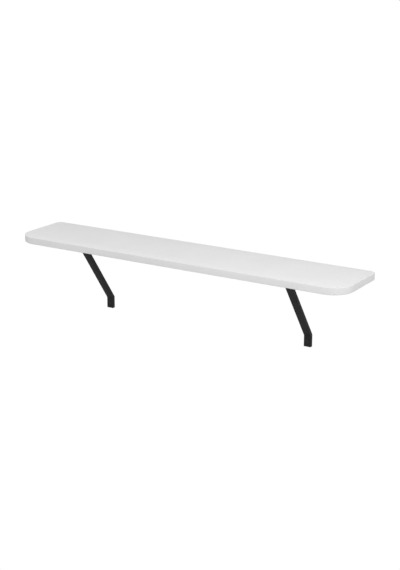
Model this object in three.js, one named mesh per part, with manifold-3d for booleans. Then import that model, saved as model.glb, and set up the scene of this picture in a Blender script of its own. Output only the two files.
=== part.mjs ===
// Wall shelf: a white laminated board carried by two black steel brackets.
//
// Millimetres. +X runs along the board, +Y points into the wall and +Z is up.
// The origin is the middle of the board's back edge, at half the board's thickness, so the
// wall is the plane y = 0 and everything else has a negative y.
//
// Each bracket is welded up from one size of flat-sided tube: an arm under the board, a
// sloping strut and a short upright foot against the wall, with mitred corners. A wall plate
// closes the back of the arm. Left is -X, seen from the front.

import * as THREE from 'three';
import { mergeVertices } from 'three/addons/utils/BufferGeometryUtils.js';
import loadManifold from 'manifold-3d';

// ---------------------------------------------------------------- board sizes
const boardLength = 1000;
const boardDepth = 190;
const coreThickness = 18;
const laminateThickness = 0.5;
const edgeBandThickness = 2;
const edgeBandRounding = 1.5;
const frontCornerRadius = 56;
const backCornerRadius = 15;

// -------------------------------------------------------------- bracket sizes
const bracketSpacing = 634;
const tubeWidth = 20;
const tubeDepth = 10;
const tubeWall = 1.5;
const bracketReach = 136;
const bracketDrop = 180;
const footLength = 30;
const weldGap = 0.3;

// ----------------------------------------------- wall plate and its two holes
const wallPlateThickness = 3;
const wallPlateHeight = 24;
const wallPlateCornerRadius = 3;
const wallPlateMargin = 10;
const driverClearance = 10;
const wallScrewHole = 5;
const countersinkDiameter = 10;
const countersinkDepth = 2.5;

// ----------------------------------------------------- foot plug and foot cap
const plugHeadThickness = 2;
const plugWall = 1.2;
const plugClearance = 0.15;
const capHeadDiameter = 12;
const capHeadHeight = 1;
const capRimHeight = 0.4;
const capSkirtDiameter = 10;
const capSkirtReach = 2.3;
const capWall = 1;
const capClearance = 0.2;
const pieceSpacing = 1;

// --------------------------------------- screws from the arm up into the board
const screwDiameter = 4;
const screwHeadDiameter = 8;
const screwHeadHeight = 2.6;
const screwHeadRim = 1;
const screwHeadFlatDiameter = 4.8;
const screwBite = 14;
const screwTipLength = 4;
const screwClearance = 0.25;
const recessLength = 4.4;
const recessWidth = 1.1;
const recessDepth = 1.6;
const screwsFromWall = { rear: 25, front: 70 };

// ---------------------------------------------------------------- fineness
const cornerSegments = 12;
const roundingSegments = 4;
const roundSegments = 32;

// How far a cutter runs past the face that it cuts through.
const overcut = 1;

// ------------------------------------------------------------ worked-out sizes
const boardThickness = coreThickness + 2 * laminateThickness;
const undersideZ = -boardThickness / 2;
const insideWidth = tubeWidth - 2 * tubeWall;
const insideDepth = tubeDepth - 2 * tubeWall;
const wallHoleOffset = tubeWidth / 2 + driverClearance;
const footBottomZ = -bracketDrop - footLength;
const footHoleZ = -bracketDrop - footLength / 2;

// ------------------------------------------------------------------- materials
const finish = (color, roughness, metalness) =>
  new THREE.MeshStandardMaterial({ color, roughness, metalness });

const materials = {
  laminate: finish(0xf1f0ee, 0.42, 0),
  edgeBand: finish(0xeeedeb, 0.38, 0),
  chipboard: finish(0xb8966a, 0.9, 0),
  powderCoat: finish(0x1d1e20, 0.55, 0.2),
  blackPlastic: finish(0x18191a, 0.6, 0),
  zinc: finish(0xb9bcbf, 0.35, 0.9),
};

// ------------------------------------------------------ cutting and joining
const wasm = await loadManifold();
wasm.setup();

// A closed three.js geometry as a solid that can be cut and joined.
function toSolid(geometry) {
  const bare = geometry.clone();
  bare.deleteAttribute('normal');
  bare.deleteAttribute('uv');
  const merged = mergeVertices(bare);
  const index = merged.index.array;
  const corners = [];
  for (let i = 0; i < index.length; i += 3) {
    const [a, b, c] = index.slice(i, i + 3);
    if (a !== b && b !== c && c !== a) {
      corners.push(a, b, c);
    }
  }
  return new wasm.Manifold(new wasm.Mesh({
    numProp: 3,
    vertProperties: merged.attributes.position.array,
    triVerts: new Uint32Array(corners),
  }));
}

function toGeometry(solid) {
  const { vertProperties, triVerts } = solid.getMesh();
  const geometry = new THREE.BufferGeometry();
  geometry.setAttribute('position', new THREE.BufferAttribute(vertProperties, 3));
  geometry.setIndex(new THREE.BufferAttribute(triVerts, 1));
  geometry.computeVertexNormals();
  return geometry;
}

// The first geometry with all the others cut out of it.
function cut(geometry, cutters) {
  const start = toSolid(geometry);
  return toGeometry(cutters.reduce((solid, cutter) => solid.subtract(toSolid(cutter)), start));
}

// --------------------------------------------------------------- basic shapes
function prism(shape, thickness, bottomZ) {
  const geometry = new THREE.ExtrudeGeometry(shape, {
    depth: thickness,
    bevelEnabled: false,
    curveSegments: cornerSegments,
  });
  return geometry.translate(0, 0, bottomZ);
}

// A side view, given as Vector2 points (y, z), made solid to both sides of x = 0.
function sideProfile(points, width) {
  const geometry = new THREE.ExtrudeGeometry(new THREE.Shape(points), {
    depth: width,
    bevelEnabled: false,
  });
  const toSideView = new THREE.Matrix4().makeBasis(
    new THREE.Vector3(0, 1, 0),
    new THREE.Vector3(0, 0, 1),
    new THREE.Vector3(1, 0, 0),
  );
  return geometry.applyMatrix4(toSideView).translate(-width / 2, 0, 0);
}

// A box from its lowest and highest corners.
function boxBetween(low, high) {
  const size = high.map((value, i) => value - low[i]);
  const middle = high.map((value, i) => (value + low[i]) / 2);
  return new THREE.BoxGeometry(...size).translate(...middle);
}

// A cylinder upright on z = 0, then moved to `at`.
function uprightCylinder(radius, height, at) {
  const geometry = new THREE.CylinderGeometry(radius, radius, height, roundSegments);
  return geometry.rotateX(Math.PI / 2).translate(0, 0, height / 2).translate(...at);
}

// A cone or cylinder lying along Y, from the back radius at `at` forwards to the front radius.
function forwardCylinder(backRadius, frontRadius, length, at) {
  const geometry = new THREE.CylinderGeometry(backRadius, frontRadius, length, roundSegments);
  return geometry.translate(0, -length / 2, 0).translate(...at);
}

// A turned piece from its (radius, height) profile, standing on Z.
function turned(profile) {
  const points = profile.map(([radius, height]) => new THREE.Vector2(radius, height));
  return new THREE.LatheGeometry(points, roundSegments).rotateX(Math.PI / 2);
}

// Profile points of a rounded edge, from (innerRadius, top) out and down to (outerRadius, rim).
function roundedEdge(innerRadius, top, outerRadius, rim) {
  const points = [];
  for (let i = 0; i <= roundingSegments; i += 1) {
    const turn = Math.PI / 2 * i / roundingSegments;
    points.push([
      innerRadius + (outerRadius - innerRadius) * Math.sin(turn),
      rim + (top - rim) * Math.cos(turn),
    ]);
  }
  return points;
}

// ----------------------------------------------------------------------- board
// The board's plan, drawn in from its outer edge by `inset`: larger corners at the front.
function boardPlan(inset) {
  const side = boardLength / 2 - inset;
  const front = inset - boardDepth;
  const back = -inset;
  const big = frontCornerRadius - inset;
  const small = backCornerRadius - inset;
  const quarter = Math.PI / 2;
  const plan = new THREE.Shape();
  plan.moveTo(big - side, front);
  plan.absarc(side - big, front + big, big, -quarter, 0, false);
  plan.absarc(side - small, back - small, small, 0, quarter, false);
  plan.absarc(small - side, back - small, small, quarter, 2 * quarter, false);
  plan.absarc(big - side, front + big, big, 2 * quarter, 3 * quarter, false);
  return plan;
}

// A hole in the board's underside for each bracket screw, up from `bottomZ`.
function screwHoles(bottomZ, height) {
  const radius = screwDiameter / 2 + screwClearance;
  const holes = [];
  for (const side of [-1, 1]) {
    for (const fromWall of Object.values(screwsFromWall)) {
      const at = [side * bracketSpacing / 2, -fromWall, bottomZ];
      holes.push(uprightCylinder(radius, height, at));
    }
  }
  return holes;
}

function boardCore() {
  const block = prism(boardPlan(edgeBandThickness), coreThickness, -coreThickness / 2);
  const holeTop = undersideZ + screwBite + pieceSpacing;
  const holeBottom = undersideZ - overcut;
  return cut(block, screwHoles(holeBottom, holeTop - holeBottom));
}

function topLaminate() {
  return prism(boardPlan(edgeBandThickness), laminateThickness, coreThickness / 2);
}

function bottomLaminate() {
  const sheet = prism(boardPlan(edgeBandThickness), laminateThickness, undersideZ);
  return cut(sheet, screwHoles(undersideZ - overcut, laminateThickness + 2 * overcut));
}

// One strip round the whole board, as tall as the board, with its outer corners rounded.
function edgeBand() {
  const outside = new THREE.ExtrudeGeometry(boardPlan(0), {
    depth: boardThickness - 2 * edgeBandRounding,
    curveSegments: cornerSegments,
    bevelSegments: roundingSegments,
    bevelThickness: edgeBandRounding,
    bevelSize: edgeBandRounding,
    bevelOffset: -edgeBandRounding,
  });
  outside.translate(0, 0, undersideZ + edgeBandRounding);
  const inside = prism(
    boardPlan(edgeBandThickness),
    boardThickness + 2 * overcut,
    undersideZ - overcut,
  );
  return cut(outside, [inside]);
}

// --------------------------------------------------------------------- bracket
// A bracket is drawn from the side, as (y, z) with z = 0 at the board's underside. The tubes'
// outer faces follow one line: forwards under the board, down the strut, down the foot.
const outerLine = [
  new THREE.Vector2(-wallPlateThickness, 0),
  new THREE.Vector2(-bracketReach, 0),
  new THREE.Vector2(-tubeDepth, -bracketDrop),
  new THREE.Vector2(-tubeDepth, footBottomZ + plugHeadThickness),
];

function direction(from, to) {
  return to.clone().sub(from).normalize();
}

// The side of a tube's outer face on which its inner face lies.
function inward(along) {
  return new THREE.Vector2(-along.y, along.x);
}

// Where the line through `point` along `along` crosses the one through `other` along `across`.
function crossing(point, along, other, across) {
  const gap = other.clone().sub(point);
  const distance = gap.cross(across) / along.cross(across);
  return point.clone().addScaledVector(along, distance);
}

// The point of the tubes' inner faces that belongs to each point of the outer line.
function innerPoint(i) {
  const before = i > 0 ? direction(outerLine[i - 1], outerLine[i]) : null;
  const after = i < outerLine.length - 1 ? direction(outerLine[i], outerLine[i + 1]) : null;
  const offset = (along) => outerLine[i].clone().addScaledVector(inward(along), tubeDepth);
  if (!before || !after) {
    return offset(before ?? after);
  }
  return crossing(offset(before), before, offset(after), after);
}

// How far a tube ends short of point i, so that half the weld's gap is left at a mitre.
function setback(i, along) {
  const isMitre = i > 0 && i < outerLine.length - 1;
  const mitre = direction(outerLine[i], innerPoint(i));
  return isMitre ? weldGap / 2 / Math.abs(mitre.cross(along)) : 0;
}

// The straight tube between points i and i + 1 of the outer line, open at both ends.
function tube(i) {
  const along = direction(outerLine[i], outerLine[i + 1]);
  const start = setback(i, along);
  const end = -setback(i + 1, along);
  const outside = sideProfile([
    outerLine[i].clone().addScaledVector(along, start),
    outerLine[i + 1].clone().addScaledVector(along, end),
    innerPoint(i + 1).addScaledVector(along, end),
    innerPoint(i).addScaledVector(along, start),
  ], tubeWidth);
  const pastMitre = 2 * tubeDepth;
  const bore = [
    [outerLine[i], -pastMitre, tubeWall],
    [outerLine[i + 1], pastMitre, tubeWall],
    [outerLine[i + 1], pastMitre, tubeDepth - tubeWall],
    [outerLine[i], -pastMitre, tubeDepth - tubeWall],
  ].map(([point, past, depth]) => point.clone()
    .addScaledVector(along, past)
    .addScaledVector(inward(along), depth));
  return cut(outside, [sideProfile(bore, insideWidth)]);
}

// The arm has a hole through its top and bottom walls for each screw.
function arm() {
  const radius = screwDiameter / 2 + screwClearance;
  const holes = Object.values(screwsFromWall).map((fromWall) =>
    uprightCylinder(radius, tubeDepth + 2 * overcut, [0, -fromWall, -tubeDepth - overcut]));
  return cut(tube(0), holes);
}

function strut() {
  return tube(1);
}

// The foot has a wide hole in front, for the screwdriver and the cap, and a small one behind,
// for the wall screw, whose head rests on the inside of the back wall.
function foot() {
  const capHole = capSkirtDiameter / 2 + capClearance;
  const middle = -tubeDepth / 2;
  const access = forwardCylinder(capHole, capHole, tubeDepth, [0, middle, footHoleZ]);
  const seat = forwardCylinder(
    wallScrewHole / 2, wallScrewHole / 2, tubeDepth, [0, overcut, footHoleZ]);
  return cut(tube(2), [access, seat]);
}

// The plate stands against the wall under the board. Its screws are beside the tube, so a
// screwdriver passes the strut.
function wallPlate() {
  const side = wallHoleOffset + wallPlateMargin;
  const radius = wallPlateCornerRadius;
  const quarter = Math.PI / 2;
  const top = 0;
  const bottom = -wallPlateHeight;
  const face = new THREE.Shape();
  face.moveTo(radius - side, bottom);
  face.absarc(side - radius, bottom + radius, radius, -quarter, 0, false);
  face.absarc(side - radius, top - radius, radius, 0, quarter, false);
  face.absarc(radius - side, top - radius, radius, quarter, 2 * quarter, false);
  face.absarc(radius - side, bottom + radius, radius, 2 * quarter, 3 * quarter, false);
  const plate = prism(face, wallPlateThickness, 0).rotateX(Math.PI / 2);
  const holes = [];
  for (const x of [-wallHoleOffset, wallHoleOffset]) {
    const z = -wallPlateHeight / 2;
    const hole = wallScrewHole / 2;
    const slope = (countersinkDiameter / 2 - hole) / countersinkDepth;
    const mouth = countersinkDiameter / 2 + slope * overcut;
    const through = wallPlateThickness + 2 * overcut;
    holes.push(forwardCylinder(hole, hole, through, [x, overcut, z]));
    holes.push(forwardCylinder(
      hole, mouth, countersinkDepth + overcut, [x, countersinkDepth - wallPlateThickness, z]));
  }
  return cut(plate, holes);
}

// A plastic plug closes the foot's open bottom end. Its hollow body stops short of the cap.
function footPlug() {
  const headTop = footBottomZ + plugHeadThickness;
  const bodyTop = footHoleZ - capHeadDiameter / 2 - pieceSpacing;
  const halfWidth = insideWidth / 2 - plugClearance;
  const front = -tubeWall - insideDepth + plugClearance;
  const back = -tubeWall - plugClearance;
  const head = boxBetween(
    [-tubeWidth / 2, -tubeDepth, footBottomZ],
    [tubeWidth / 2, 0, headTop],
  );
  const body = boxBetween(
    [-halfWidth, front, footBottomZ + plugHeadThickness / 2],
    [halfWidth, back, bodyTop],
  );
  const hollow = boxBetween(
    [plugWall - halfWidth, front + plugWall, headTop],
    [halfWidth - plugWall, back - plugWall, bodyTop + overcut],
  );
  return toGeometry(toSolid(head).add(toSolid(body)).subtract(toSolid(hollow)));
}

// A domed plastic cap covers the hole in the front of the foot.
function footCap() {
  const headRadius = capHeadDiameter / 2;
  const skirtRadius = capSkirtDiameter / 2;
  const skirtLength = tubeWall + capSkirtReach;
  const cap = turned([
    [0, -capWall / 2],
    [skirtRadius - capWall, -capWall / 2],
    [skirtRadius - capWall, -skirtLength],
    [skirtRadius, -skirtLength],
    [skirtRadius, 0],
    [headRadius, 0],
    ...roundedEdge(0, capHeadHeight, headRadius, capRimHeight).reverse(),
  ]);
  return cap.rotateX(Math.PI / 2).translate(0, -tubeDepth, footHoleZ);
}

// A pan-head wood screw, head down, with its bearing face at z = 0.
function boardScrew() {
  const head = screwHeadDiameter / 2;
  const shank = screwDiameter / 2;
  const length = tubeDepth + screwBite;
  const screw = turned([
    [0, -screwHeadHeight],
    ...roundedEdge(screwHeadFlatDiameter / 2, -screwHeadHeight, head, -screwHeadRim),
    [head, 0],
    [shank, 0],
    [shank, length - screwTipLength],
    [0, length],
  ]);
  const low = -screwHeadHeight - overcut;
  const high = recessDepth - screwHeadHeight;
  const arms = [[recessLength, recessWidth], [recessWidth, recessLength]];
  return cut(screw, arms.map(([x, y]) => boxBetween([-x / 2, -y / 2, low], [x / 2, y / 2, high])));
}

// -------------------------------------------------------------------- assembly
function named(name, geometry, material) {
  const mesh = new THREE.Mesh(geometry, material);
  mesh.name = name;
  return mesh;
}

function bracket(side, x) {
  const group = new THREE.Group();
  group.position.set(x, 0, undersideZ);
  group.add(
    named(`${side}_arm`, arm(), materials.powderCoat),
    named(`${side}_strut`, strut(), materials.powderCoat),
    named(`${side}_foot`, foot(), materials.powderCoat),
    named(`${side}_wall_plate`, wallPlate(), materials.powderCoat),
    named(`${side}_foot_plug`, footPlug(), materials.blackPlastic),
    named(`${side}_foot_cap`, footCap(), materials.blackPlastic),
  );
  for (const [place, fromWall] of Object.entries(screwsFromWall)) {
    const screw = named(`${side}_${place}_screw`, boardScrew(), materials.zinc);
    screw.position.set(0, -fromWall, -tubeDepth);
    group.add(screw);
  }
  return group;
}

const shelf = new THREE.Group();
shelf.add(
  named('board_core', boardCore(), materials.chipboard),
  named('top_laminate', topLaminate(), materials.laminate),
  named('bottom_laminate', bottomLaminate(), materials.laminate),
  named('edge_band', edgeBand(), materials.edgeBand),
  bracket('left', -bracketSpacing / 2),
  bracket('right', bracketSpacing / 2),
);

export default shelf;
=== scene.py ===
"""A white wall shelf on two black steel brackets, dressed for rendering around its CAD frame.

Metres, +X along the board, +Y into the wall (the plane y = 0), +Z up. Every place and main size
is read from the frame's boxes, and the fine sizes are named below.
"""

import math

import bmesh
import bpy
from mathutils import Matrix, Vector


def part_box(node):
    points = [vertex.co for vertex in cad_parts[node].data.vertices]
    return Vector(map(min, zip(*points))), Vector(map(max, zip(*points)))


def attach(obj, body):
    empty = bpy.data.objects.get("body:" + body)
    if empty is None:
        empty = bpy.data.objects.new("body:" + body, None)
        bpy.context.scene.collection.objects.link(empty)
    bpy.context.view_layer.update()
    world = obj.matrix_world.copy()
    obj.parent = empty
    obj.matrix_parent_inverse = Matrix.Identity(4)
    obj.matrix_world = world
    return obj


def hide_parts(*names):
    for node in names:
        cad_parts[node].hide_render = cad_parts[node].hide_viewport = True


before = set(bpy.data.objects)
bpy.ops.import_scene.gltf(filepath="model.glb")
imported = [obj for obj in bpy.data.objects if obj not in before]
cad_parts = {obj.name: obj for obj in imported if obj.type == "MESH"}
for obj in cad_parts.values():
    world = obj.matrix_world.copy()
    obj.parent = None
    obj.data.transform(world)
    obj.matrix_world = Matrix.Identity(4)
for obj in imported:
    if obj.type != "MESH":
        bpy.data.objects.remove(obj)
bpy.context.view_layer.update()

BODY = "root"
MM = 0.001
QUARTER_TURN = math.pi / 2
FULL_TURN = 2 * math.pi
MERGE_DISTANCE = 1e-7     # points closer than this are one point
SHARPNESS = 30            # degrees: an edge that turns more stays crisp
TURNED_SIDES = 48

# ------------------------------------------------------------------ fine sizes
ARC_STEPS = 40            # steps in each rounded corner of the board
EASING_STEPS = 8          # steps in each rounded edge of the board, the plates and the plugs
FRONT_CORNER_RADIUS = 56 * MM
BACK_CORNER_RADIUS = 15 * MM
BAND_EASING = 1.5 * MM
JOINT_EASING = 0.08 * MM  # the hairline between laminate and edge band
JOINT_STEPS = 3
BAND_SEAM_X = 0.21        # where the edge band's two ends meet, on the back edge
BAND_SEAM = 0.15 * MM

TUBE_WALL = 1.5 * MM
TUBE_EASING = 0.7 * MM
TUBE_INNER_EASING = 0.3 * MM
MITRE_CHAMFER = 0.18 * MM
TUBE_ARC_STEPS = 6

PLATE_CORNER_RADIUS = 3 * MM
PLATE_EASING = 0.5 * MM
WALL_HOLE_RADIUS = 2.5 * MM
COUNTERSINK_RADIUS = 5 * MM
COUNTERSINK_DEPTH = 2.5 * MM
DRIVER_CLEARANCE = 10 * MM  # from the tube's side to the middle of a wall plate's hole
HOLE_CHAMFER = 0.25 * MM
CUT_PAST = 1 * MM         # how far a cutter stands past the surfaces that it cuts

WELD_INSET = 1.2 * MM     # from the tube's edges to a bead's ends
WELD_PITCH = 1.1 * MM     # from one ripple to the next
WELD_STEP = 0.22 * MM
WELD_SIDES = 10
WELD_SHARPNESS = 70
WELD_RIPPLE = 0.14        # how much thinner a bead is between its ripples
WELD_END = 0.35           # a bead's size at its ends, over its size along the rest
WELD_RUN_IN = 1.2         # how long a bead takes to swell to full size, over its radius
UNDER_WELD_RADIUS = 1.5 * MM
SIDE_WELD_RADIUS = 1.4 * MM
FRONT_WELD_RADIUS = 1.3 * MM

PLUG_EASING = 0.35 * MM
PLUG_CORNER_TIGHTENING = 0.9  # how fast the head's corners tighten as its edge rounds off
PLUG_LIP = 0.15 * MM
PLUG_SLACK = 0.15 * MM    # between the plug's body and the tube's inside
PLUG_WALL = 1.2 * MM
PLUG_CORNER_RADIUS = 0.6 * MM
PLUG_NOSE_INSET = 0.5 * MM
PLUG_NOSE_HEIGHT = 0.6 * MM
PLUG_NOSE_RADIUS = 0.4 * MM
PLUG_HOLLOW_RADIUS = 0.3 * MM
PLUG_FLOOR = 0.2 * MM

CAP_LIP = 0.8 * MM        # how far the foot's cap covers the rim of its hole
CAP_SKIRT_INSET = 1.0 * MM
CAP_SKIRT_WALL = 1.0 * MM
CAP_HOLLOW = 0.5 * MM     # from the foot's surface in to the cap's flat inside
CAP_NOSE_INSET = 0.25 * MM
CAP_NOSE_HEIGHT = 0.4 * MM
CAP_RIM_SHARE = 0.55      # the rolled rim's share of the cap's height
CAP_STEPS = 10

SCREW_PLACES = ("rear", "front")
SCREW_CLEARANCE = 0.25 * MM
SCREW_SHARPNESS = 40
THREAD_PITCH = 1.8 * MM
THREAD_ROOT = 0.66        # the thread's root radius over its crest radius
THREAD_HALF_WIDTH = 0.32  # half the ridge's width at its foot, over the pitch
THREAD_SIDES = 32
THREAD_STEPS = 16         # steps along the screw in each turn
SHANK_ROOTS = 1.12        # the plain shank's radius over the root's
FILLET_ROOTS = 1.25       # the radius under the head over the root's
FILLET_HEIGHT = 0.3 * MM
TIP_LENGTH = 4 * MM
TIP_BLUNTNESS = 0.06      # the tip's size over the shank's
# The pan head, from its flat top to its underside: its radius and height over the whole head's.
PAN_HEAD = [
    (0.42, 0), (0.62, 0.02), (0.8, 0.14), (0.92, 0.34), (1.0, 0.66), (1.0, 0.97), (0.98, 1.0)]
RECESS_HALF_LENGTH = 2.3 * MM
RECESS_HALF_WIDTH = 0.6 * MM
RECESS_MOUTH = -0.5 * MM  # heights measured inwards from the top of the head
RECESS_FLOOR = 1.7 * MM
RECESS_TAPER = (0.55, 0.7)  # the recess's floor over its mouth, along X and along Y


# ---------------------------------------------------------------- node materials
class Nodes:
    """A material's node tree around one Principled shader, reading the piece's own coordinates."""

    def __init__(self, name, **sockets):
        self.material = bpy.data.materials.new(name)
        self.material.use_nodes = True
        self.tree = self.material.node_tree
        self.tree.nodes.clear()
        output = self.add("ShaderNodeOutputMaterial")
        self.shader = self.add("ShaderNodeBsdfPrincipled")
        self.link(self.shader.outputs["BSDF"], output.inputs["Surface"])
        self.place = self.add("ShaderNodeTexCoord").outputs["Object"]
        for socket, value in sockets.items():
            self.shader.inputs[socket].default_value = value

    def add(self, kind, **settings):
        node = self.tree.nodes.new(kind)
        for key, value in settings.items():
            setattr(node, key, value)
        return node

    def link(self, source, target):
        self.tree.links.new(source, target)

    def stretched(self, x, y, z):
        """The piece's coordinates, stretched by a factor along each axis."""
        mapping = self.add("ShaderNodeMapping")
        mapping.inputs["Scale"].default_value = (x, y, z)
        self.link(self.place, mapping.inputs["Vector"])
        return mapping.outputs["Vector"]

    def noise(self, scale, detail=3.0, roughness=0.5, place=None):
        node = self.add("ShaderNodeTexNoise")
        node.inputs["Scale"].default_value = scale
        node.inputs["Detail"].default_value = detail
        node.inputs["Roughness"].default_value = roughness
        self.link(place or self.place, node.inputs["Vector"])
        return node.outputs["Fac"]

    def cells(self, scale, place):
        """A node of scattered cells, with a colour and a distance."""
        node = self.add("ShaderNodeTexVoronoi")
        node.inputs["Scale"].default_value = scale
        self.link(place, node.inputs["Vector"])
        return node

    def spread(self, value, low, high, usual=(0.35, 0.65)):
        """The value, spread from its usual range onto low to high."""
        node = self.add("ShaderNodeMapRange")
        for socket, number in zip(("From Min", "From Max", "To Min", "To Max"), (*usual, low, high)):
            node.inputs[socket].default_value = number
        self.link(value, node.inputs["Value"])
        return node.outputs["Result"]

    def mixed(self, value, first, second):
        """A colour between two colours, or between a colour and another node's colour."""
        node = self.add("ShaderNodeMix", data_type="RGBA")
        self.link(value, node.inputs["Factor"])
        for socket, colour in (("A", first), ("B", second)):
            target = [i for i in node.inputs if i.name == socket and i.type == "RGBA"][0]
            if isinstance(colour, bpy.types.NodeSocket):
                self.link(colour, target)
            else:
                target.default_value = (*colour, 1.0)
        return [o for o in node.outputs if o.type == "RGBA"][0]

    def colour(self, source):
        self.link(source, self.shader.inputs["Base Color"])

    def two_tone(self, value, dark, pale):
        """Colours the piece from dark to pale as the value crosses its usual range."""
        self.colour(self.mixed(self.spread(value, 0.0, 1.0), dark, pale))

    def roughness(self, value, low, high):
        self.link(self.spread(value, low, high), self.shader.inputs["Roughness"])

    def bump(self, *layers):
        """Layers of (height value, height in metres), each on top of the last."""
        normal = None
        for value, height in layers:
            node = self.add("ShaderNodeBump")
            node.inputs["Strength"].default_value = 1.0
            node.inputs["Distance"].default_value = height
            self.link(value, node.inputs["Height"])
            if normal is not None:
                self.link(normal, node.inputs["Normal"])
            normal = node.outputs["Normal"]
        self.link(normal, self.shader.inputs["Normal"])


def laminate_material():
    """White melamine: a fine pearl grain, hardly any variation in colour."""
    nodes = Nodes("white_laminate", IOR=1.5)
    broad = nodes.noise(9.0, detail=2.0)
    fine, waves = nodes.noise(1400.0, detail=2.0), nodes.noise(60.0)
    nodes.two_tone(broad, dark=(0.815, 0.815, 0.815), pale=(0.835, 0.835, 0.835))
    nodes.roughness(nodes.noise(240.0), low=0.42, high=0.5)
    nodes.bump((fine, 0.03 * MM), (waves, 0.02 * MM))
    return nodes.material


def edge_band_material():
    """White plastic edging: faint lines along the strip from its extrusion."""
    nodes = Nodes("white_edge_band", IOR=1.5)
    lines = nodes.noise(1800.0, detail=2.0, place=nodes.stretched(0.05, 0.05, 1.0))
    broad, fine = nodes.noise(12.0, detail=2.0), nodes.noise(1100.0, detail=1.0)
    nodes.two_tone(broad, dark=(0.805, 0.805, 0.805), pale=(0.825, 0.825, 0.825))
    nodes.roughness(lines, low=0.36, high=0.46)
    nodes.bump((lines, 0.012 * MM), (fine, 0.02 * MM))
    return nodes.material


def chipboard_material():
    """Pressed wood chips of mixed browns."""
    nodes = Nodes("raw_chipboard", Roughness=0.9)
    chips = nodes.cells(420.0, nodes.stretched(0.35, 1.0, 1.6))
    shade = nodes.mixed(chips.outputs["Color"], (0.44, 0.3, 0.17), (0.72, 0.57, 0.37))
    dust = nodes.spread(nodes.noise(900.0, detail=4.0), 0.0, 0.6)
    nodes.colour(nodes.mixed(dust, shade, (0.58, 0.43, 0.26)))
    nodes.bump((chips.outputs["Distance"], 0.25 * MM))
    return nodes.material


def powder_coat_material():
    """Black powder coat: a fine orange-peel surface with a satin sheen."""
    nodes = Nodes("black_powder_coat", IOR=1.45)
    grain = nodes.noise(1500.0, detail=2.0, roughness=0.6)
    peel = nodes.noise(420.0, detail=1.0)
    nodes.two_tone(grain, dark=(0.0075, 0.0075, 0.0078), pale=(0.012, 0.012, 0.0124))
    nodes.roughness(nodes.noise(70.0), low=0.5, high=0.62)
    nodes.bump((peel, 0.09 * MM), (grain, 0.07 * MM))
    return nodes.material


def black_plastic_material():
    """Moulded black plastic with a spark-eroded grain."""
    nodes = Nodes("black_moulded_plastic", IOR=1.48)
    grain = nodes.noise(2400.0, detail=2.0)
    nodes.two_tone(grain, dark=(0.011, 0.011, 0.0115), pale=(0.018, 0.018, 0.0185))
    nodes.roughness(nodes.noise(150.0), low=0.55, high=0.68)
    nodes.bump((grain, 0.035 * MM))
    return nodes.material


def zinc_material():
    """Bright zinc plating: cloudy patches in its colour and its gloss, and a very fine grain."""
    nodes = Nodes("bright_zinc", Metallic=1.0)
    cloud, grain = nodes.noise(500.0), nodes.noise(2600.0, detail=2.0)
    nodes.two_tone(cloud, dark=(0.58, 0.6, 0.63), pale=(0.74, 0.73, 0.69))
    nodes.roughness(nodes.noise(1200.0), low=0.24, high=0.42)
    nodes.bump((grain, 0.008 * MM))
    return nodes.material


MATERIALS = {
    "laminate": laminate_material(),
    "edge_band": edge_band_material(),
    "chipboard": chipboard_material(),
    "powder_coat": powder_coat_material(),
    "black_plastic": black_plastic_material(),
    "zinc": zinc_material(),
}


# ------------------------------------------------------------------ mesh helpers
def new_object(name, data):
    made = bpy.data.objects.new(name, data)
    bpy.context.scene.collection.objects.link(made)
    return made


def clean(mesh, sharp_degrees=SHARPNESS):
    """Turns faces outwards and shades them smooth, keeping edges sharper than the angle crisp."""
    work = bmesh.new()
    work.from_mesh(mesh)
    bmesh.ops.remove_doubles(work, verts=work.verts, dist=MERGE_DISTANCE)
    bmesh.ops.recalc_face_normals(work, faces=work.faces)
    work.to_mesh(mesh)
    work.free()
    mesh.shade_smooth()
    mesh.set_sharp_from_angle(angle=math.radians(sharp_degrees))


def new_mesh(name, points, faces, sharp_degrees=SHARPNESS):
    mesh = bpy.data.meshes.new(name)
    mesh.from_pydata([tuple(p) for p in points], [], faces)
    clean(mesh, sharp_degrees)
    return mesh


def piece(name, points, faces, slot, replaces=(), sharp_degrees=SHARPNESS):
    """A new piece of the object from points and faces, which rides on the one body."""
    mesh = new_mesh(name, points, faces, sharp_degrees)
    mesh.materials.append(MATERIALS[slot])
    made = new_object(name, mesh)
    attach(made, BODY)
    if replaces:
        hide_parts(*replaces)
    return made


def carve(target, cutters, sharp_degrees=SHARPNESS):
    """Cuts each (points, faces) solid out of the target."""
    for points, faces in cutters:
        mesh = new_mesh("cutter", points, faces)
        cutter = new_object("cutter", mesh)
        modifier = target.modifiers.new("carve", "BOOLEAN")
        modifier.operation = "DIFFERENCE"
        modifier.solver = "EXACT"
        modifier.object = cutter
        graph = bpy.context.evaluated_depsgraph_get()
        result = bpy.data.meshes.new_from_object(target.evaluated_get(graph))
        target.modifiers.clear()
        old = target.data
        target.data = result
        bpy.data.meshes.remove(old)
        bpy.data.objects.remove(cutter)
        bpy.data.meshes.remove(mesh)
    clean(target.data, sharp_degrees)


def skin(rings, closed_rings=False):
    """Points and faces of the surface through rings of equally many points.

    It is capped at the first ring and the last, unless the last joins the first."""
    count = len(rings[0])
    points = [p for ring in rings for p in ring]
    faces = []
    joins = len(rings) if closed_rings else len(rings) - 1
    for i in range(joins):
        here, after = i * count, (i + 1) % len(rings) * count
        for j in range(count):
            k = (j + 1) % count
            faces.append((here + j, here + k, after + k, after + j))
    if not closed_rings:
        faces.append(tuple(reversed(range(count))))
        faces.append(tuple(range((len(rings) - 1) * count, len(rings) * count)))
    return points, faces


def circle_turns(steps):
    return [FULL_TURN * i / steps for i in range(steps)]


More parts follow.
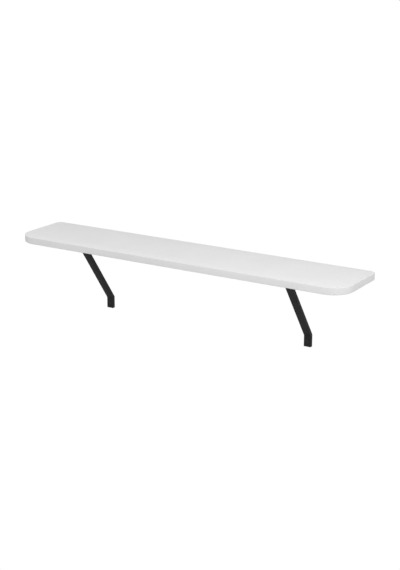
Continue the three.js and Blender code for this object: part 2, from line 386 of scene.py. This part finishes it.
def turned(profile, centre, axis):
    """Points and faces of a profile of (radius, height) turned about an axis through centre.

    The profile's ends lie on the axis."""
    axis = Vector(axis).normalized()
    side = axis.orthogonal().normalized()
    other = axis.cross(side)
    points = [centre + axis * profile[0][1], centre + axis * profile[-1][1]]
    inner = profile[1:-1]
    for radius, height in inner:
        for turn in circle_turns(TURNED_SIDES):
            out = side * math.cos(turn) + other * math.sin(turn)
            points.append(centre + axis * height + out * radius)
    faces = []
    last = 2 + (len(inner) - 1) * TURNED_SIDES
    for i in range(TURNED_SIDES):
        k = (i + 1) % TURNED_SIDES
        faces.append((0, 2 + k, 2 + i))
        faces.append((1, last + i, last + k))
        for j in range(len(inner) - 1):
            low, high = 2 + j * TURNED_SIDES, 2 + (j + 1) * TURNED_SIDES
            faces.append((low + i, low + k, high + k, high + i))
    return points, faces


def arc(centre, radius, start, end, steps):
    """Points (u, v) from one angle to another, in radians."""
    angles = [start + (end - start) * i / steps for i in range(steps + 1)]
    return [(centre[0] + radius * math.cos(a), centre[1] + radius * math.sin(a)) for a in angles]


def rounded_rectangle(low, high, radii, steps):
    """A rectangle's outline, anticlockwise, with radii for its corners from the lowest one."""
    signs = ((1, 1), (-1, 1), (-1, -1), (1, -1))
    corners = (low, (high[0], low[1]), high, (low[0], high[1]))
    outline = []
    for i, (corner, sign, radius) in enumerate(zip(corners, signs, radii)):
        centre = (corner[0] + sign[0] * radius, corner[1] + sign[1] * radius)
        start = math.pi + i * QUARTER_TURN
        outline += arc(centre, radius, start, start + QUARTER_TURN, steps)
    return outline


def rounded_edges(low, high, radius):
    """The outer edge of a slab from low to high, as (inset, height), with both its edges rounded."""
    return [
        *arc((radius, low + radius), radius, -QUARTER_TURN, -math.pi, EASING_STEPS),
        *arc((radius, high - radius), radius, math.pi, QUARTER_TURN, EASING_STEPS),
    ]


# ------------------------------------------------------------------------- board
BAND_LOW, BAND_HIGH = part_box("edge_band")
SHEET_LOW, SHEET_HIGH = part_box("top_laminate")
UNDER_LOW, UNDER_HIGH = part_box("bottom_laminate")
BAND_THICKNESS = SHEET_LOW.x - BAND_LOW.x


def board_plan(inset):
    """The board's outline in plan, drawn in from its outer edge."""
    front, back = FRONT_CORNER_RADIUS - inset, BACK_CORNER_RADIUS - inset
    return rounded_rectangle(
        (BAND_LOW.x + inset, BAND_LOW.y + inset),
        (BAND_HIGH.x - inset, BAND_HIGH.y - inset),
        (front, front, back, back),
        ARC_STEPS,
    )


def sheet(name, low_z, high_z, node, eased_top):
    """A flat laminate sheet, with a hair's breadth of easing along its outer face's edge."""
    def ring(inset, z):
        return [Vector((x, y, z)) for x, y in board_plan(inset)]

    rings = [ring(BAND_THICKNESS, low_z if eased_top else high_z)]
    for i in range(JOINT_STEPS + 1):
        turn = QUARTER_TURN * i / JOINT_STEPS
        inset = BAND_THICKNESS + JOINT_EASING * (1 - math.cos(turn))
        drop = JOINT_EASING * (1 - math.sin(turn))
        rings.append(ring(inset, high_z - drop if eased_top else low_z + drop))
    points, faces = skin(rings)
    piece(name, points, faces, "laminate", [node])


def edge_strip():
    """The edge band: one strip round the board, its ends meeting at a fine seam at the back."""
    low, high = BAND_LOW.z, BAND_HIGH.z
    profile = [
        (BAND_THICKNESS, low + JOINT_EASING),
        (BAND_THICKNESS - JOINT_EASING, low),
        *rounded_edges(low, high, BAND_EASING),
        (BAND_THICKNESS - JOINT_EASING, high),
        (BAND_THICKNESS, high - JOINT_EASING),
    ]
    plans = [board_plan(inset) for inset, _ in profile]
    count = len(plans[0])
    back_left = 3 * (ARC_STEPS + 1)  # where the last corner starts, just past the seam
    rings = []
    for i in range(back_left, back_left + count):
        rings.append([Vector((*plan[i % count], z)) for plan, (_, z) in zip(plans, profile)])
    ends = []
    for x in (BAND_SEAM_X - BAND_SEAM / 2, BAND_SEAM_X + BAND_SEAM / 2):
        ends.append([Vector((x, p.y, p.z)) for p in rings[0]])
    points, faces = skin([ends[0], *rings, ends[1]])
    piece("edge_strip", points, faces, "edge_band", ["edge_band"])


# --------------------------------------------------------------------- brackets
def turn_inward(along):
    """From a tube's outer face towards its inner face, in the side view (y, z)."""
    return Vector((-along.y, along.x))


def cross2(a, b):
    return a.x * b.y - a.y * b.x


class BracketLine:
    """The side view of a bracket's tubes, with corners from the wall plate round to the foot's end."""

    def __init__(self, side):
        plate, strut, foot = (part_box(f"{side}_{part}") for part in ("wall_plate", "strut", "foot"))
        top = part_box(f"{side}_arm")[1].z
        self.depth = foot[1].y - foot[0].y
        self.middle_x = (foot[0].x + foot[1].x) / 2
        self.half_width = (foot[1].x - foot[0].x) / 2
        self.outer = [
            Vector((plate[0].y, top)),
            Vector((strut[0].y, top)),
            Vector((foot[0].y, strut[0].z)),
            Vector((foot[0].y, foot[0].z)),
        ]
        self.inner = [self.inner_point(i) for i in range(len(self.outer))]

    def along(self, i):
        return (self.outer[i + 1] - self.outer[i]).normalized()

    def inner_point(self, i):
        """Where the inner faces of the tubes on both sides of corner i meet."""
        sides = [self.along(k) for k in (i - 1, i) if 0 <= k < len(self.outer) - 1]
        first = self.outer[i] + turn_inward(sides[0]) * self.depth
        if len(sides) == 1:
            return first
        second = self.outer[i] + turn_inward(sides[1]) * self.depth
        distance = cross2(second - first, sides[1]) / cross2(sides[0], sides[1])
        return first + sides[0] * distance

    def at(self, i, across, depth):
        """The point of the cut through corner i that is `across` along X and `depth` inwards."""
        p = self.outer[i].lerp(self.inner[i], depth / self.depth)
        return Vector((self.middle_x + across, p.x, p.y))


def tube_section(line, inset, radius):
    """A tube's section (across, depth), drawn in from its outer surface."""
    half = line.half_width - inset
    return rounded_rectangle(
        (-half, inset), (half, line.depth - inset), (radius,) * 4, TUBE_ARC_STEPS)


def tube_piece(side, part, line, i):
    """The straight, open tube between corners i and i + 1, chamfered a little at its ends."""
    along = line.along(i)
    step = Vector((0, along.x, along.y)) * MITRE_CHAMFER
    outer = tube_section(line, 0, TUBE_EASING)
    eased = tube_section(line, MITRE_CHAMFER, TUBE_EASING - MITRE_CHAMFER)
    inner = tube_section(line, TUBE_WALL, TUBE_INNER_EASING)

    def ring(corner, section, shift=0):
        return [line.at(corner, *p) + step * shift for p in section]

    rings = [
        ring(i, inner),
        ring(i, eased),
        ring(i, outer, 1),
        ring(i + 1, outer, -1),
        ring(i + 1, eased),
        ring(i + 1, inner),
    ]
    points, faces = skin(rings, closed_rings=True)
    return piece(f"{side}_{part}_tube", points, faces, "powder_coat", [f"{side}_{part}"])


def drill(radius, start, end, chamfers=(True, True)):
    """A round cutter from start to end, opened out by a small chamfer at the ends asked for.

    Both its ends stand past the surfaces that the chamfers are measured from."""
    axis = end - start
    length = axis.length
    mouth = radius + HOLE_CHAMFER + CUT_PAST
    profile = [(0, -CUT_PAST)]
    if chamfers[0]:
        profile += [(mouth, -CUT_PAST), (radius, HOLE_CHAMFER)]
    else:
        profile.append((radius, -CUT_PAST))
    if chamfers[1]:
        profile += [(radius, length - HOLE_CHAMFER), (mouth, length + CUT_PAST)]
    else:
        profile.append((radius, length + CUT_PAST))
    profile.append((0, length + CUT_PAST))
    return turned(profile, start, axis)


def screw_crest(low, high):
    """The radius of a screw's thread, from its box: half its head's."""
    return (high.x - low.x) / 4


def arm_tube(side, line):
    """The arm, with the screws' clearance holes through its two flat walls."""
    made = tube_piece(side, "arm", line, 0)
    top, bottom = line.outer[0].y, line.inner[0].y
    cutters = []
    for place in SCREW_PLACES:
        low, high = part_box(f"{side}_{place}_screw")
        x, y = (low.x + high.x) / 2, (low.y + high.y) / 2
        radius = screw_crest(low, high) + SCREW_CLEARANCE
        cutters.append(drill(radius, Vector((x, y, bottom)), Vector((x, y, top))))
    carve(made, cutters)


def foot_tube(side, line):
    """The foot, with a wide hole in front for the cap and a small one behind for the screw."""
    made = tube_piece(side, "foot", line, 2)
    low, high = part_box(f"{side}_foot_cap")
    x, z = line.middle_x, (low.z + high.z) / 2
    front, back = line.outer[2].x, line.outer[2].x + line.depth
    middle = (front + back) / 2
    access = (high.x - low.x) / 2 - CAP_LIP
    carve(made, [
        drill(access, Vector((x, front, z)), Vector((x, middle, z)), (True, False)),
        drill(WALL_HOLE_RADIUS, Vector((x, middle, z)), Vector((x, back, z)), (False, True)),
    ])


def wall_plate(side, line):
    """The plate behind the arm, with rounded corners and two countersunk holes."""
    low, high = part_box(f"{side}_wall_plate")
    rings = []
    for inset, y in rounded_edges(low.y, high.y, PLATE_EASING):
        outline = rounded_rectangle(
            (low.x + inset, low.z + inset), (high.x - inset, high.z - inset),
            (PLATE_CORNER_RADIUS - inset,) * 4, EASING_STEPS)
        rings.append([Vector((x, y, z)) for x, z in outline])
    points, faces = skin(rings)
    made = piece(f"{side}_back_plate", points, faces, "powder_coat", [f"{side}_wall_plate"])
    offset = line.half_width + DRIVER_CLEARANCE
    z = (low.z + high.z) / 2
    thickness = high.y - low.y
    slope = (COUNTERSINK_RADIUS - WALL_HOLE_RADIUS) / COUNTERSINK_DEPTH
    profile = [
        (0, -CUT_PAST),
        (COUNTERSINK_RADIUS + slope * CUT_PAST, -CUT_PAST),
        (WALL_HOLE_RADIUS, COUNTERSINK_DEPTH),
        (WALL_HOLE_RADIUS, thickness + CUT_PAST),
        (0, thickness + CUT_PAST),
    ]
    holes = (line.middle_x - offset, line.middle_x + offset)
    carve(made, [turned(profile, Vector((x, low.y, z)), (0, 1, 0)) for x in holes])


def weld(name, start, end, radius):
    """A straight, rippled weld bead, sunk half into the corner that it fills."""
    length = (end - start).length
    count = max(2, round(length / WELD_STEP))
    ahead = (end - start).normalized()
    side = ahead.orthogonal().normalized()
    other = ahead.cross(side)
    rings = []
    for i in range(count + 1):
        so_far = length * i / count
        ripple = abs(math.sin(math.pi * so_far / WELD_PITCH))
        swell = min(1, WELD_END + min(so_far, length - so_far) / (WELD_RUN_IN * radius))
        size = radius * swell * (1 - WELD_RIPPLE * (1 - ripple))
        rings.append([
            start.lerp(end, i / count) + (side * math.cos(turn) + other * math.sin(turn)) * size
            for turn in circle_turns(WELD_SIDES)
        ])
    points, faces = skin(rings)
    piece(name, points, faces, "powder_coat", sharp_degrees=WELD_SHARPNESS)


def bracket_welds(side, line):
    """Fillet welds: the arm to its plate on three sides, and the corner under its front end.

    The corner between strut and foot is ground flush, because the foot lies on the wall."""
    left, right = line.middle_x - line.half_width, line.middle_x + line.half_width
    plate_y = line.outer[0].x
    top, bottom = line.outer[0].y, line.inner[0].y
    corner = line.inner[1]

    def across(name, y, z, radius):
        weld(name, Vector((left + WELD_INSET, y, z)), Vector((right - WELD_INSET, y, z)), radius)

    across(f"{side}_plate_weld_under", plate_y, bottom, UNDER_WELD_RADIUS)
    for label, x in (("left", left), ("right", right)):
        lower = Vector((x, plate_y, bottom + WELD_INSET))
        upper = Vector((x, plate_y, top - 2 * WELD_INSET))
        weld(f"{side}_plate_weld_{label}", lower, upper, SIDE_WELD_RADIUS)
    across(f"{side}_front_weld", corner.x, corner.y, FRONT_WELD_RADIUS)


def foot_plug(side):
    """The plug in the foot's end: an eased head and a hollow body up inside the tube."""
    low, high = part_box(f"{side}_foot_plug")
    foot_low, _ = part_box(f"{side}_foot")
    head_top = foot_low.z
    body = TUBE_WALL + PLUG_SLACK
    hollow = body + PLUG_WALL
    levels = []
    for i in range(EASING_STEPS + 1):
        turn = QUARTER_TURN * i / EASING_STEPS
        inset = PLUG_EASING * (1 - math.sin(turn))
        z = low.z + PLUG_EASING * (1 - math.cos(turn))
        levels.append((inset, z, TUBE_EASING - inset * PLUG_CORNER_TIGHTENING))
    levels += [
        (0, head_top - PLUG_LIP, TUBE_EASING),
        (PLUG_LIP, head_top, TUBE_EASING - PLUG_LIP),
        (body, head_top, PLUG_CORNER_RADIUS),
        (body, high.z - PLUG_NOSE_HEIGHT, PLUG_CORNER_RADIUS),
        (body + PLUG_NOSE_INSET, high.z, PLUG_NOSE_RADIUS),
        (hollow, high.z, PLUG_HOLLOW_RADIUS),
        (hollow, head_top + PLUG_FLOOR, PLUG_HOLLOW_RADIUS),
    ]
    rings = []
    for inset, z, radius in levels:
        outline = rounded_rectangle(
            (low.x + inset, low.y + inset), (high.x - inset, high.y - inset),
            (radius,) * 4, TUBE_ARC_STEPS)
        rings.append([Vector((x, y, z)) for x, y in outline])
    points, faces = skin(rings)
    piece(f"{side}_end_plug", points, faces, "black_plastic", [f"{side}_foot_plug"])


def foot_cap(side):
    """The cap over the foot's hole: a low dome with a rolled rim, and a skirt in the hole."""
    low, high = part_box(f"{side}_foot_cap")
    foot_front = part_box(f"{side}_foot")[0].y
    centre = Vector(((low.x + high.x) / 2, foot_front, (low.z + high.z) / 2))
    radius = (high.x - low.x) / 2
    rise = foot_front - low.y
    skirt = radius - CAP_SKIRT_INSET
    depth = high.y - foot_front
    rim = CAP_RIM_SHARE * rise
    crown = radius - rim
    dome = []
    for i in range(CAP_STEPS + 1):
        turn = QUARTER_TURN * i / CAP_STEPS
        dome.append((radius - rim * (1 - math.cos(turn)), rim * math.sin(turn)))
    for i in range(1, CAP_STEPS):
        share = i / CAP_STEPS
        dome.append((crown * (1 - share), rim + (rise - rim) * math.sin(QUARTER_TURN * share)))
    profile = [
        (0, -CAP_HOLLOW),
        (skirt - CAP_SKIRT_WALL, -CAP_HOLLOW),
        (skirt - CAP_SKIRT_WALL, -depth),
        (skirt - CAP_NOSE_INSET, -depth),
        (skirt, CAP_NOSE_HEIGHT - depth),
        (skirt, 0),
        (radius, 0),
        *dome,
        (0, rise),
    ]
    points, faces = turned(profile, centre, (0, -1, 0))
    piece(f"{side}_screw_cap", points, faces, "black_plastic", [f"{side}_foot_cap"])


def board_screw(side, place):
    """A pan-head wood screw with a cross recess and a real helical thread up to its point."""
    low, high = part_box(f"{side}_{place}_screw")
    arm_low, arm_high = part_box(f"{side}_arm")
    x, y = (low.x + high.x) / 2, (low.y + high.y) / 2
    head = (high.x - low.x) / 2
    head_height = arm_low.z - low.z
    crest = screw_crest(low, high)
    root = crest * THREAD_ROOT
    length = high.z - arm_low.z
    plain = arm_high.z - arm_low.z
    rise = THREAD_PITCH / THREAD_STEPS
    centre = Vector((x, y, arm_low.z))

    def ring(height, radius_at):
        return [
            centre + Vector((
                radius_at(turn) * math.cos(turn), radius_at(turn) * math.sin(turn), height))
            for turn in circle_turns(THREAD_SIDES)
        ]

    def round_ring(height, radius):
        return ring(height, lambda turn: radius)

    def thread_ring(height):
        taper = min(1, max(TIP_BLUNTNESS, (length - height) / TIP_LENGTH))
        start = min(1, (height - plain) / THREAD_PITCH)

        def radius_at(turn):
            phase = (height / THREAD_PITCH - turn / FULL_TURN) % 1
            ridge = max(0, 1 - abs(phase - 0.5) / THREAD_HALF_WIDTH) * start
            return taper * (root + (crest - root) * ridge)
        return ring(height, radius_at)

    rings = [round_ring(-head_height + head_height * h, head * r) for r, h in PAN_HEAD]
    rings.append(round_ring(0, root * FILLET_ROOTS))
    rings.append(round_ring(FILLET_HEIGHT, root * SHANK_ROOTS))
    rings.append(round_ring(plain, root * SHANK_ROOTS))
    for i in range(1, int((length - plain) / rise) + 1):
        rings.append(thread_ring(plain + rise * i))
    points, faces = skin(rings)
    made = piece(f"{side}_{place}_board_screw", points, faces, "zinc", [f"{side}_{place}_screw"],
                 SCREW_SHARPNESS)
    top = Vector((x, y, low.z))
    long, short = RECESS_HALF_LENGTH, RECESS_HALF_WIDTH
    arms = []
    for u, v in ((long, short), (short, long)):
        mouth = [(-u, -v), (u, -v), (u, v), (-u, v)]
        floor = [(a * RECESS_TAPER[0], b * RECESS_TAPER[1]) for a, b in mouth]
        arms.append(skin([
            [top + Vector((a, b, RECESS_MOUTH)) for a, b in mouth],
            [top + Vector((a, b, RECESS_FLOOR)) for a, b in floor],
        ]))
    carve(made, arms, sharp_degrees=SCREW_SHARPNESS)


def bracket(side):
    line = BracketLine(side)
    for place in SCREW_PLACES:
        board_screw(side, place)
    arm_tube(side, line)
    tube_piece(side, "strut", line, 1)
    foot_tube(side, line)
    wall_plate(side, line)
    bracket_welds(side, line)
    foot_plug(side)
    foot_cap(side)


# ----------------------------------------------------------------------- studio
AIM = Vector((0.0411, -0.0952, -0.0736))
AZIMUTH, ELEVATION = 32.07, 16.58
DISTANCE = 3.2035
FOCAL_PIXELS = 1217.2
IMAGE_LONG_SIDE = 570
SENSOR = 36.0
FLOOR_Z = -3.6            # below every view's camera, also those from underneath
FLOOR_SIZE = 400.0
FLOOR_GLOW = 0.42
SURROUND_GLOW = 0.70
SEEN_WHITE = 1.01         # how bright the floor and the surroundings look to the camera


def put_facing(made, target, azimuth, elevation, distance):
    """Puts a camera or light at a distance from the target, facing it.

    Azimuth 0 is straight in front of the shelf, and both angles are in degrees."""
    azimuth, elevation = math.radians(azimuth), math.radians(elevation)
    back = Vector((
        math.sin(azimuth) * math.cos(elevation),
        -math.cos(azimuth) * math.cos(elevation),
        math.sin(elevation),
    ))
    made.location = target + back * distance
    made.rotation_mode = "QUATERNION"
    made.rotation_quaternion = (-back).to_track_quat("-Z", "Y")


def camera():
    data = bpy.data.cameras.new("camera")
    data.sensor_width = SENSOR
    data.lens = FOCAL_PIXELS * SENSOR / IMAGE_LONG_SIDE
    made = new_object("camera", data)
    put_facing(made, AIM, AZIMUTH, ELEVATION, DISTANCE)
    bpy.context.scene.camera = made


def glow(tree, strength_socket, brightness):
    """Makes a stage surface white to the camera, and only as bright as asked to everything else."""
    path = tree.nodes.new("ShaderNodeLightPath")
    strength = tree.nodes.new("ShaderNodeMapRange")
    strength.inputs["To Min"].default_value = brightness
    strength.inputs["To Max"].default_value = SEEN_WHITE
    tree.links.new(path.outputs["Is Camera Ray"], strength.inputs["Value"])
    tree.links.new(strength.outputs["Result"], strength_socket)


def floor():
    material = bpy.data.materials.new("pale_floor")
    material.use_nodes = True
    tree = material.node_tree
    tree.nodes.clear()
    output = tree.nodes.new("ShaderNodeOutputMaterial")
    emission = tree.nodes.new("ShaderNodeEmission")
    tree.links.new(emission.outputs["Emission"], output.inputs["Surface"])
    glow(tree, emission.inputs["Strength"], FLOOR_GLOW)
    half = FLOOR_SIZE / 2
    mesh = bpy.data.meshes.new("floor")
    corners = [(-half, -half), (half, -half), (half, half), (-half, half)]
    mesh.from_pydata([(x, y, FLOOR_Z) for x, y in corners], [], [(0, 1, 2, 3)])
    mesh.materials.append(material)
    made = new_object("floor", mesh)


def soft_light(name, azimuth, elevation, distance, size, power):
    """A round soft light, left out of reflections, which would burn out the top in low views."""
    data = bpy.data.lights.new(name, "AREA")
    data.shape = "DISK"
    data.size = size
    data.energy = power
    made = new_object(name, data)
    put_facing(made, Vector(), azimuth, elevation, distance)
    made.visible_glossy = False


def studio():
    world = bpy.data.worlds.new("studio")
    world.use_nodes = True
    background = world.node_tree.nodes["Background"]
    background.inputs["Color"].default_value = (1, 1, 1, 1)
    glow(world.node_tree, background.inputs["Strength"], SURROUND_GLOW)
    bpy.context.scene.world = world
    bpy.context.scene.view_settings.view_transform = "Standard"
    soft_light("key", azimuth=38, elevation=25, distance=2.0, size=1.2, power=11.5)
    soft_light("left_fill", azimuth=-50, elevation=35, distance=3.0, size=1.5, power=12.4)
    soft_light("right_fill", azimuth=95, elevation=15, distance=2.4, size=1.2, power=6.5)


# ------------------------------------------------------------------------ making
camera()
studio()
floor()
sheet("board_top_sheet", SHEET_LOW.z, SHEET_HIGH.z, "top_laminate", eased_top=True)
sheet("board_under_sheet", UNDER_LOW.z, UNDER_HIGH.z, "bottom_laminate", eased_top=False)
edge_strip()
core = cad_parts["board_core"]
core.data.materials.clear()
core.data.materials.append(MATERIALS["chipboard"])
for bracket_side in ("left", "right"):
    bracket(bracket_side)
